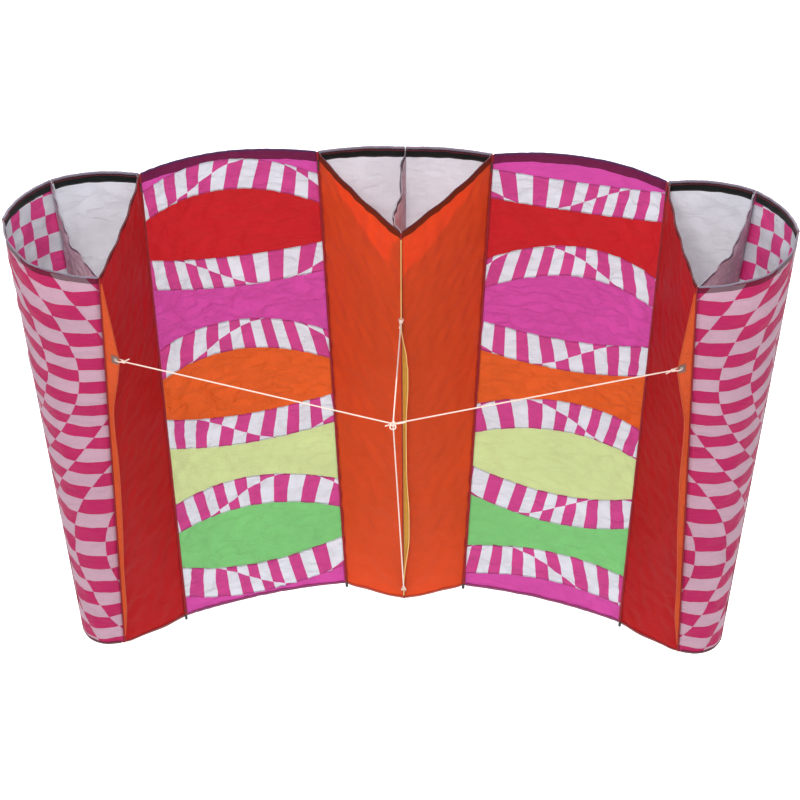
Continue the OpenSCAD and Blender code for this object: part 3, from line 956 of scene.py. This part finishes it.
centre_back = Cloth(CENTRE_RIB_SEAM, PANEL_SEAM, wrinkle=back_wrinkle)
centre_wall = Cloth(PANEL_SEAM, CENTRE_RIDGE, "centre_right_wall", wall_wrinkle(11, 0.0012, 0.0012))
centre_rib = Cloth(CENTRE_RIDGE, CENTRE_RIB_SEAM, wrinkle=rib_wrinkle(5, -0.022))
cell_back = Cloth(CELL_SEAM, RIB_SEAM, "right_cell_back", back_wrinkle)
edge_back = Cloth(RIB_SEAM, EDGE_SEAM, "right_cell_back_check", back_wrinkle)
inner_wall = Cloth(CELL_SEAM, SIDE_RIDGE, "right_inner_wall",
                   wall_wrinkle(23, 0.0008, 0.0016))
outer_wall = Cloth(SIDE_RIDGE, EDGE_SEAM, "right_outer_wall",
                   wall_wrinkle(31, 0.0018, 0.0020))
side_rib = Cloth(SIDE_RIDGE, RIB_SEAM, wrinkle=rib_wrinkle(8, 0.012))
plain_panel = Cloth(PANEL_SEAM, CELL_SEAM, "right_magenta_fields")
centre_back.billow = Cloth(CENTRE_RIB_SEAM, PANEL_SEAM, "centre_back_sheet").billow
for seed, (cloth, slack) in enumerate(((centre_back, 0.004), (centre_wall, 0.003),
                                       (cell_back, 0.004), (edge_back, 0.003),
                                       (inner_wall, 0.003), (outer_wall, 0.003),
                                       (side_rib, 0.006), (centre_rib, 0.006))):
    cloth.relief = relief(cloth, 200 + seed, slack)

# ---- centre cell


def rib_top(dip):
    return lambda s: 1 - 4 * dip * s * (1 - s) / CHORD


BEAD_POINTS = 48
EDGE_GAPS = (0.006, 0.006)
CAP_R = 0.0036
CAP_LIP_R = 0.0040
CAP_BORE_R = 0.00275
CAP_CORE_R = 0.0004
CAP_END_THICK = 0.002
BACK_EDGE_R = 0.0036
PIPING_R = 0.0016
PIPING_DROP = 0.0062
PIPING_STAND = 0.0026
WALL_EDGE_R = 0.0018
TIP_WALL_EDGE_R = 0.0022
PANEL_EDGE_R = 0.0024
RIB_BAR_R = 0.0015


def bead(name, cloth, side, body, material, radius, t=1.0, lift=0.0, span=(0.01, 0.99)):
    """A rolled edge along a cloth at height t."""
    s = np.linspace(*span, BEAD_POINTS)[None, :]
    rise = np.full_like(s, t)
    points, _ = cloth.sheet(np.vstack([s, s]), np.vstack([rise - 0.004, rise]), lift)
    wander = 1 + 0.10 * np.sin(np.arange(BEAD_POINTS) * 2.3)
    obj = tube_object(name, mirrored(points[1], side), radius * wander, material, 10)
    ride(obj, body)


def leading_edge(name, cloth, side, body):
    """The bound edge of a back sheet, and the piping below it in front of its tape."""
    bead(f"{name}_edge", cloth, side, body, Library.grey_bead, BACK_EDGE_R)
    bead(f"{name}_piping", cloth, side, body, Library.maroon_tape, PIPING_R,
         1 - PIPING_DROP / cloth.length, PIPING_STAND)


def tape(name, cloth, side, body, face, width=TAPE_WIDTH, top=level(1), nodes=(), gaps=EDGE_GAPS,
         off=0.0011, material=Library.black_tape):
    """A tape sewn to a cloth with its high edge at top. face is 1 in front and -1 behind."""
    share = width / cloth.length
    obj = patch(name, cloth, side, material, lambda s: top(s) - share, top, gaps, face * off,
                0.0008, (0.008, 0.006))
    ride(obj, body, nodes)


def hem(name, cloth, side, body, face, material, width=HEM_WIDTH * 0.8, gaps=EDGE_GAPS):
    """A tape along the low edge of a cloth."""
    tape(name, cloth, side, body, face, width, level(width / cloth.length), (), gaps,
         material=material)


def rib_binding(name, cloth, side, body, face, material):
    """A tape along the dipped top edge of a rib."""
    tape(name, cloth, side, body, face, INNER_TAPE_WIDTH, rib_top(RIB_DIP), (), (0.004, 0.006),
         0.0008, material)


def sleeve(name, seam, side, body, node):
    """A rod's sleeve, drawn in a little at each bar-tack and wider round the end cap."""
    share = np.linspace(0, 1, 140)
    first = SLEEVE_FOOT / CHORD
    path = on_line(seam, (first + (1.0 - first) * share)[:, None])
    drawn = 1 - 0.10 * (np.abs(np.sin(share * math.pi * 22)) < 0.12) * (share > 0.05)
    drawn += 0.16 * np.exp(-share / 0.02)
    wander = 1 + 0.03 * np.sin(share * 61) * np.sin(share * 23)
    obj = tube_object(name, mirrored(path, side), SLEEVE_R * drawn * wander, Library.rolled_seam,
                      16, squash=lambda a: 1 + 0.05 * math.cos(2 * a))
    ride(obj, body, node)


def cap_profile(length):
    """From a cap's round closed end to the lip at its mouth, and back up its bore."""
    turns = [step / 6 * math.pi / 2 for step in range(1, 7)]
    dome = [(CAP_R * 0.8 * (1 - math.cos(a)), CAP_R * math.sin(a)) for a in turns]
    return [(0.0, CAP_CORE_R), *dome, (length - 0.0035, CAP_R), (length - 0.003, CAP_LIP_R),
            (length - 0.0006, CAP_LIP_R), (length, CAP_R - 0.0002), (length, CAP_BORE_R),
            (CAP_END_THICK, CAP_BORE_R), (CAP_END_THICK, CAP_CORE_R)]


def rod_line(points):
    """The seam that a cap's points lie round, on the cap's own side."""
    share = (points[:, 2].mean() - TRAILING) / CHORD
    out = abs(points[:, 0].mean())
    seam = min((PANEL_SEAM, CELL_SEAM),
               key=lambda seam: abs(on_line(seam, share)[0] - out))
    return [mirrored(end, LEFT if points[:, 0].mean() < 0 else RIGHT) for end in seam]


def caps(name, node, body):
    """A vinyl end cap for each one in the CAD node."""
    groups = sorted(islands(node), key=lambda p: (p[:, 2].mean(), p[:, 0].mean()))
    for number, points in enumerate(groups):
        foot, top = rod_line(points)
        axis = unit(top - foot)
        heights = (points - foot) @ axis
        low, high = heights.min(), heights.max()
        profile = cap_profile(high - low)
        if low < 0:
            outline = [(low + h, r) for h, r in profile]
        else:
            outline = [(high - h, r) for h, r in reversed(profile)]
        cap = lathe_object(f"{name}_{number + 1}", foot, axis, outline, Library.black_vinyl, 24)
        ride(cap, body, [] if number else [node])


def seam_bar(name, seam, side, body, material=Library.rolled_seam, radius=SEAM_R, nodes=()):
    """A rolled seam from end to end."""
    share = np.linspace(0, 1, 120)[:, None]
    path = on_line(seam, share)
    wander = 1 + 0.05 * np.sin(share[:, 0] * 90) * np.sin(share[:, 0] * 31)
    obj = tube_object(name, mirrored(path, side), radius * wander, material, 12)
    ride(obj, body, nodes)


def centre_back_piece():
    """The back sheet, which is one piece of cloth from seam to seam, over both halves."""
    t = np.linspace(0, 1, 121)[:, None]
    width = centre_back.width(t)
    s = np.linspace(0, 1, 37)[None, :] * (1 - (SLEEVE_R - TUCK) / width)
    points, _ = centre_back.sheet(s, t)
    across = np.concatenate([-(s * width)[:, :0:-1], s * width], 1)
    whole = np.concatenate([mirrored(points, LEFT)[:, :0:-1], points], 1)
    up = np.broadcast_to(t * centre_back.length, across.shape)
    flat = np.stack([across + 0.3, up, np.zeros_like(up)], -1)
    rims = np.stack([width - np.abs(across), up, centre_back.length - up], -1)
    obj = sheet_object("centre_back", whole, facing(whole), CLOTH_THICK, Library.white, flat, rims)
    declare_sheet(obj, CENTRE, ["centre_back_sheet"])


def centre_half(word, side):
    """A front wall, and the trim of this half of the centre cell."""
    prefix = f"centre_{word}"
    wall = patch(f"{prefix}_front", centre_wall, side, Library.orange,
                 gaps=(SLEEVE_R - TUCK, SEAM_R - TUCK))
    declare_sheet(wall, CENTRE, [f"{prefix}_wall"])
    leading_edge(f"{prefix}_back", centre_back, side, CENTRE)
    bead(f"{prefix}_mouth_edge", centre_wall, side, CENTRE, Library.maroon_tape,
         WALL_EDGE_R, span=(0.03, 0.985))
    tape(f"{prefix}_back_tape", centre_back, side, CENTRE, 1, BACK_TAPE_WIDTH,
         nodes=["centre_tapes"] if side == LEFT else (), gaps=(0.0005, 0.006))
    tape(f"{prefix}_mouth_tape", centre_wall, side, CENTRE, 1)
    hem(f"{prefix}_back_hem", centre_back, side, CENTRE, -1, Library.pale_hem, HEM_WIDTH,
        (0.0, 0.006))
    hem(f"{prefix}_front_hem", centre_wall, side, CENTRE, -1, Library.orange_hem_tape)
    sleeve(f"{prefix}_sleeve", PANEL_SEAM, side, CENTRE,
           ["centre_rod_sleeves"] if side == LEFT else ())


centre_back_piece()
for word, side in SIDES.items():
    centre_half(word, side)
rib = patch("centre_rib_cloth", centre_rib, RIGHT, Library.rib, high=rib_top(RIB_DIP),
            gaps=(SEAM_R, 0.004))
declare_sheet(rib, CENTRE, ["centre_rib"])
# the centre rib's tape is the grey tape, darkened as painted shade inside the cell
for face, word in ((1, "right"), (-1, "left")):
    rib_binding(f"centre_rib_binding_{word}", centre_rib, RIGHT, CENTRE, face, Library.dark_tape)
seam_bar("centre_ridge_seam", CENTRE_RIDGE, RIGHT, CENTRE, nodes=["centre_seams"])
seam_bar("centre_rib_seam", CENTRE_RIB_BAR, RIGHT, CENTRE, Library.pale_seam, RIB_BAR_R)
caps("centre_cap", "centre_rod_caps", CENTRE)
for node in ("centre_left_rod", "centre_right_rod", "left_rod", "right_rod"):
    slots = frame["nodes"][node].data.materials
    slots.clear()
    slots.append(Library.fibreglass)

# ---- patchwork panels

# each field from the top down, with its material and the CAD node that its first piece hides
FIELDS = (("magenta", Library.magenta_top, "magenta_fields"), ("red", Library.red, "red_field"),
          ("magenta", Library.magenta, None), ("orange", Library.tangerine, "orange_field"),
          ("yellow", Library.yellow, "yellow_field"), ("green", Library.green, "green_field"),
          ("magenta", Library.magenta_foot, None))
OVERLAP = 0.003 / CHORD
PATCH_PITCH = (0.006, 0.006)


def raised(line, by):
    return lambda s: line(s) + by


def panel(word, side):
    """A patchwork panel: seven fields, six strips over their seams, trim and rod sleeve."""
    body = f"{word}_panel"
    strips = edges_of(f"{word}_check_strips", side, plain_panel)
    cloth = Cloth(PANEL_SEAM, CELL_SEAM, wrinkle=panel_wrinkle(strips, 40 + 7 * side))
    cloth.billow = plain_panel.billow
    gaps = (SLEEVE_R - TUCK, SLEEVE_R - TUCK)
    lines = [level(1)]
    for low, high in strips:
        lines += [arched(high), arched(low)]
    lines.append(level(0))
    cloth.relief = relief(cloth, 300 + side, 0.007, lines[1:-1])
    for number, (colour, material, node) in enumerate(FIELDS):
        obj = patch(f"{word}_{colour}_field_{number + 1}", cloth, side, material,
                    lines[2 * number + 1], lines[2 * number], gaps, pitch=PATCH_PITCH)
        declare_sheet(obj, body, [f"{word}_{node}"] if node else [])
    for number, (low, high) in enumerate(strips):
        material = fabric(f"{word}_strip_check_{number + 1}", strip_check(1.1 + 1.9 * number + side))
        obj = patch(f"{word}_check_strip_{number + 1}", cloth, side, material,
                    raised(arched(low), -OVERLAP), raised(arched(high), OVERLAP), gaps, 0.0009,
                    pitch=PATCH_PITCH)
        declare_sheet(obj, body, [] if number else [f"{word}_check_strips"])
    tape(f"{word}_leading_edge_tape", cloth, side, body, -1, PANEL_TAPE_WIDTH,
         nodes=[f"{word}_leading_tape"])
    hem(f"{word}_panel_hem", cloth, side, body, 1, Library.plum_hem_tape)
    bead(f"{word}_panel_edge", cloth, side, body, Library.purple_bead, PANEL_EDGE_R)
    sleeve(f"{word}_panel_sleeve", CELL_SEAM, side, body, [f"{word}_rod_sleeve"])
    caps(f"{word}_cap", f"{word}_rod_caps", body)


for word, side in SIDES.items():
    panel(word, side)

# ---- tip cells


def tip_cell(word, side):
    """A tip cell: two back sheets, two walls, the rib, and their trim."""
    body = f"{word}_tip_cell"
    at_rod, at_seam = SLEEVE_R - TUCK, SEAM_R - TUCK
    for name, cloth, material, slot, node, first_gap in (
            ("back_sheet", cell_back, Library.white, "white_ripstop", "cell_back", at_rod),
            ("edge_back_sheet", edge_back, Library.back_check, "check_ripstop", "cell_back_check",
             at_seam),
            ("inner_front", inner_wall, Library.deep_red, "deep_red_ripstop", "inner_wall", at_rod),
            ("outer_front", outer_wall, Library.wall_check, "pink_check_ripstop", "outer_wall",
             at_seam)):
        obj = patch(f"{word}_{name}", cloth, side, material, gaps=(first_gap, at_seam))
        declare_sheet(obj, body, [f"{word}_{node}"])
    obj = patch(f"{word}_rib_cloth", side_rib, side, Library.rib, high=rib_top(RIB_DIP),
                gaps=(SEAM_R, SEAM_R))
    declare_sheet(obj, body, [f"{word}_rib"])
    for face, face_word in ((1, "front"), (-1, "back")):
        rib_binding(f"{word}_rib_binding_{face_word}", side_rib, side, body, face, Library.grey_tape)
    tape(f"{word}_back_tape", cell_back, side, body, 1, BACK_TAPE_WIDTH,
         nodes=[f"{word}_cell_tapes"])
    tape(f"{word}_edge_back_tape", edge_back, side, body, 1, BACK_TAPE_WIDTH)
    tape(f"{word}_inner_mouth_tape", inner_wall, side, body, -1, INNER_TAPE_WIDTH)
    tape(f"{word}_outer_mouth_tape", outer_wall, side, body, -1)
    leading_edge(f"{word}_back", cell_back, side, body)
    leading_edge(f"{word}_edge_back", edge_back, side, body)
    for name, cloth, material in (("inner", inner_wall, Library.maroon_tape),
                                  ("outer", outer_wall, Library.grey_bead)):
        bead(f"{word}_{name}_mouth_edge", cloth, side, body, material, TIP_WALL_EDGE_R)
    for name, cloth, face, material in (("back", cell_back, -1, Library.pale_hem),
                                        ("edge_back", edge_back, -1, Library.maroon_tape),
                                        ("inner", inner_wall, 1, Library.red_hem_tape),
                                        ("outer", outer_wall, 1, Library.maroon_tape)):
        hem(f"{word}_{name}_hem", cloth, side, body, face, material)
    seam_bar(f"{word}_ridge_seam", SIDE_RIDGE, side, body, nodes=[f"{word}_cell_seams"])
    seam_bar(f"{word}_rib_back_seam", RIB_SEAM, side, body, Library.pale_seam)
    seam_bar(f"{word}_outer_edge_seam", EDGE_SEAM, side, body)


for word, side in SIDES.items():
    tip_cell(word, side)

# ---- keels

KEEL_PROFILE = ((0.02, 0.020), (0.66, 0.020), (0.79, 0.042), (0.985, 0.005))
SIDE_KEEL_PROFILE = ((0.02, 0.003), (0.10, 0.014), (0.30, 0.022), (0.50, 0.025), (0.66, 0.022),
                     (0.79, 0.042), (0.985, 0.005))
KEEL_CORNER = 0.79
KEEL_HEM_R = 0.0013
PATCH_SIDE = 0.013
EYELET_HALF = 0.0008
EYELET_BULGE = 0.0007
EYELET_R = 0.0038
EYELET_ROLL = 0.0012


def lean_of(ridge):
    """The level direction from a keel's corner to the knot."""
    return unit((KNOT - on_line(ridge, KEEL_CORNER)) * (1, 1, 0))


def across_keel(ridge, side):
    """The direction that a keel's eyelets face."""
    return unit(np.cross(lean_of(ridge), ridge[1] - ridge[0])) * (side, 1, 1)


def keel_sheet(name, ridge, side, material, flop, thick=CLOTH_THICK, span=(0.02, 0.985),
               inner=SEAM_R, lift=0.0, trim=0.0, pitch=0.008):
    """A keel, or a patch on it, as a sheet from its ridge out to its edge. flop is how far the
    slack strip below the corner falls to the side."""
    profile = KEEL_PROFILE if ridge is CENTRE_RIDGE else SIDE_KEEL_PROFILE
    shares, heights = np.array(profile).T
    rows = int((span[1] - span[0]) * CHORD / pitch) + 2
    cols = 8
    t = np.linspace(*span, rows)[:, None]
    edge = np.interp(t, shares, heights) - trim
    out = inner + (edge - inner) * np.linspace(0, 1, cols)[None, :]
    lean = lean_of(ridge)
    axis = unit(ridge[1] - ridge[0])
    aside = unit(np.cross(lean, axis))
    slack = fade(t - 0.04, 0.13) * fade(KEEL_CORNER - 0.02 - t, 0.15)
    wave = 1 + 0.28 * np.sin(t * 15 - 1.66) + 0.06 * np.sin(t * 31 + 1)
    fall = flop * slack * wave * (out / 0.020) ** 1.5
    fall = np.clip(fall, -0.7 * out, 0.7 * out)
    kept = np.sqrt(np.maximum(out ** 2 - fall ** 2, (out * 0.4) ** 2))
    points = (on_line(ridge, t[..., None]) + lean * kept[..., None]
              + aside * (fall + lift)[..., None])
    up = np.broadcast_to(t * CHORD, out.shape)
    flat = np.stack([out, up, np.zeros_like(up)], -1)
    rims = np.stack([np.minimum(edge - out, 0.05), up - span[0] * CHORD, span[1] * CHORD - up], -1)
    obj = sheet_object(name, mirrored(points, side), mirrored(facing(points), side), thick,
                       material, flat, rims, flipped=side == LEFT)
    return obj, mirrored(points[:, -1], side)


def grommet(name, centre, axis):
    """A pressed eyelet: a rolled barrel with a flange on each face of the keel."""
    profile = []
    for face in (-1, 1):
        for step in range(9):
            turn = math.pi * step / 8
            height = face * (EYELET_HALF + EYELET_BULGE * math.sin(turn))
            radius = EYELET_R + face * -EYELET_ROLL * math.cos(turn)
            profile.append((height, radius))
    return lathe_object(name, centre, axis, profile, Library.eyelet_metal, 36)


def keel(word, ridge, side, body, material, hem_material, eyelets, flop, spans):
    """A keel with its folded edge, and its patches and eyelets. spans are the patches: name,
    low and high share up the ridge, and distance from it."""
    eyelet_node = f"{word}_keel_eyelets" if word == "centre" else f"{word}_keel_eyelet"
    obj, edge = keel_sheet(f"{word}_keel_cloth", ridge, side, material, flop)
    declare_sheet(obj, body, [f"{word}_keel"])
    ride(tube_object(f"{word}_keel_hem", edge, KEEL_HEM_R, hem_material, 10), body)
    nodes = [f"{word}_keel_patches"]
    for place, low, high, inner in spans:
        for face, label in ((-1, "inner"), (1, "outer")):
            cover, _ = keel_sheet(f"{word}_{place}_patch_{label}", ridge, side, Library.brown_patch,
                                  0.0, 0.0006, (low, high), inner, face * 0.0008, 0.0006, 0.004)
            ride(cover, body, nodes)
            nodes = []
    for number, centre in enumerate(eyelets):
        ring = grommet(f"{word}_eyelet_{number + 1}", centre, across_keel(ridge, side))
        ride(ring, body, [] if number else [eyelet_node])


CORNER_PATCH = ("corner", KEEL_CORNER - PATCH_SIDE / CHORD, KEEL_CORNER + PATCH_SIDE / CHORD, 0.020)
FOOT_PATCH = ("foot", 0.021, 0.045, 0.006)
EYELETS = {word: [middle(f"{word}_keel_eyelet")] for word in SIDES}
EYELETS["centre"] = sorted((points.mean(0) for points in islands("centre_keel_eyelets")),
                           key=lambda p: -p[2])
keel("centre", CENTRE_RIDGE, RIGHT, CENTRE, Library.gold, Library.gold_hem,
     EYELETS["centre"], -0.0112, (CORNER_PATCH, FOOT_PATCH))
for word, side in SIDES.items():
    keel(word, SIDE_RIDGE, side, f"{word}_tip_keel", Library.keel_orange, Library.orange_hem,
         EYELETS[word], -0.006, (CORNER_PATCH,))

# ---- bridle


TIE_LENGTH = 0.018
TIE_WIDTH = 0.0048
TIE_TURNS = 3.2
TIE_PITCH = 0.0030
TIE_TURN_R = 0.0027
LEG_EYELETS = {"top": EYELETS["centre"][0], "bottom": EYELETS["centre"][1],
               "left": EYELETS["left"][0], "right": EYELETS["right"][0]}


def full_turn(count):
    """Angles of a closed turn."""
    return np.linspace(0, FULL_TURN, count + 1)[:-1]


def tie(name, eyelet, aside, body):
    """The cord's own loop through the eyelet, and three turns that close it."""
    ahead = unit(KNOT - eyelet)
    half = TIE_LENGTH / 2
    loop = [eyelet + ahead * half * (1 - math.cos(a)) + aside * TIE_WIDTH * math.sin(a)
            for a in full_turn(40)]
    ring = tube_object(f"{name}_ring", loop, CORD_R * 0.95, Library.bridle_cord, 12, closed=True)
    other = np.cross(ahead, aside)
    wind = np.linspace(0, TIE_TURNS * FULL_TURN, 64)
    wraps = [eyelet + ahead * (TIE_LENGTH - 0.002 + TIE_PITCH * a / FULL_TURN)
             + (aside * math.cos(a) + other * math.sin(a)) * TIE_TURN_R for a in wind]
    tail = [wraps[-1] + ahead * 0.004 * k + (aside * math.cos(wind[-1]) + other * math.sin(wind[-1]))
            * 0.0025 * k for k in (1, 2, 3)]
    hitch = tube_object(f"{name}_hitch", wraps + tail, CORD_R * 0.9, Library.bridle_cord, 10)
    for obj in (ring, hitch):
        ride(obj, body)
    return [ring, hitch]


def leg_piece(word):
    eyelet, body = LEG_EYELETS[word], BRIDLE_BODIES[word]
    reach = np.linalg.norm(KNOT - eyelet)
    stations = np.linspace(TIE_LENGTH - 0.001, reach - 0.002, 60)
    path = eyelet + unit(KNOT - eyelet) * stations[:, None]
    obj = tube_object(f"{word}_leg", path, CORD_R, Library.bridle_cord, 12)
    ride(obj, body, [f"{word}_bridle_leg"])
    ridge = CENTRE_RIDGE if word in ("top", "bottom") else SIDE_RIDGE
    side = LEFT if word == "left" else RIGHT
    return obj, path, tie(word, eyelet, across_keel(ridge, side), body)


def knot_pieces():
    """The knot: cord wound three ways round a core, with its two cut ends."""
    made = []
    frames = [((1, 0, 0), (0, 1, 0.25)), ((0, 1, 0.3), (0.2, 0, 1)), ((1, 0.5, 0), (0, 0.2, 1)),
              ((1, -0.6, 0.3), (0, 0.6, 1))]
    for number, (first, second) in enumerate(frames):
        u = unit(np.array(first, float))
        v = np.array(second, float)
        v = unit(v - u * (u @ v))
        w = np.cross(u, v)
        shift = (-0.0012, 0.0008, 0.0014, -0.0004)[number]
        loop = [KNOT + (u * math.cos(a) + v * math.sin(a)) * (KNOT_R - CORD_R - 0.0003)
                + w * (shift + 0.0007 * math.sin(2 * a)) for a in full_turn(48)]
        made.append(tube_object(f"knot_turn_{number + 1}", loop, CORD_R * 1.05, Library.bridle_cord, 12,
                                closed=True))
    steps = np.linspace(0, 1, 14)
    for number, (heading, length, curl) in enumerate((((-0.88, 0.1, -0.34), 0.021, (0.1, -0.3, 0.1)),
                                                      ((0.94, -0.1, 0.12), 0.029, (0.1, 0.1, 0.35)))):
        ahead, bend = unit(np.array(heading)), np.array(curl)
        tail = [KNOT + ahead * (0.003 + (length - 0.003) * k) + bend * length * 0.25 * k * k
                for k in steps]
        thick = CORD_R * (1 + 0.12 * (steps > 0.86) - 0.25 * (steps > 0.98))
        made.append(tube_object(f"knot_tail_{number + 1}", tail, thick, Library.bridle_cord, 12))
    for obj in made:
        ride(obj, "centre_cell")
    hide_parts("tow_knot")
    return made


def tow_loop_piece():
    """The loop for the flying line: a drop-shaped turn of cord that passes through the knot."""
    half = LOOP_REACH / 2
    loop = []
    for a in full_turn(80):
        along = half * (1 - math.cos(a))
        width = 0.0085 * math.sin(a) * (0.55 + 0.45 * along / LOOP_REACH)
        loop.append(KNOT + np.array((width, -along, 0.0)) * (1, 1 - CORD_R / LOOP_REACH, 1))
    obj = tube_object("tow_loop_cord", loop, CORD_R, Library.bridle_cord, 12, closed=True)
    return ride(obj, "line_loop", ["tow_loop"])


knot = knot_pieces()
loop = tow_loop_piece()
for word in BRIDLE_BODIES:
    obj, path, ties = leg_piece(word)

# ---- floor

FLOOR_DROP = 0.75
FLOOR_REACH = 60
floor_mesh = bpy.data.meshes.new("floor")
floor_mesh.from_pydata([(x * FLOOR_REACH, y * FLOOR_REACH, 0)
                        for x, y in ((-1, -1), (1, -1), (1, 1), (-1, 1))], [], [(0, 1, 2, 3)])
floor = placed("floor", floor_mesh)
floor.location.z = TRAILING - FLOOR_DROP
floor_material, floor_tree, floor_shader = new_material("pale_floor")
dress(floor_tree, floor_shader,
      scaled(floor_tree, (0.93, 0.93, 0.93), noise(floor_tree, 2) * 0.02 + 0.99), 0.9, 0.1)
floor_mesh.materials.append(floor_material)
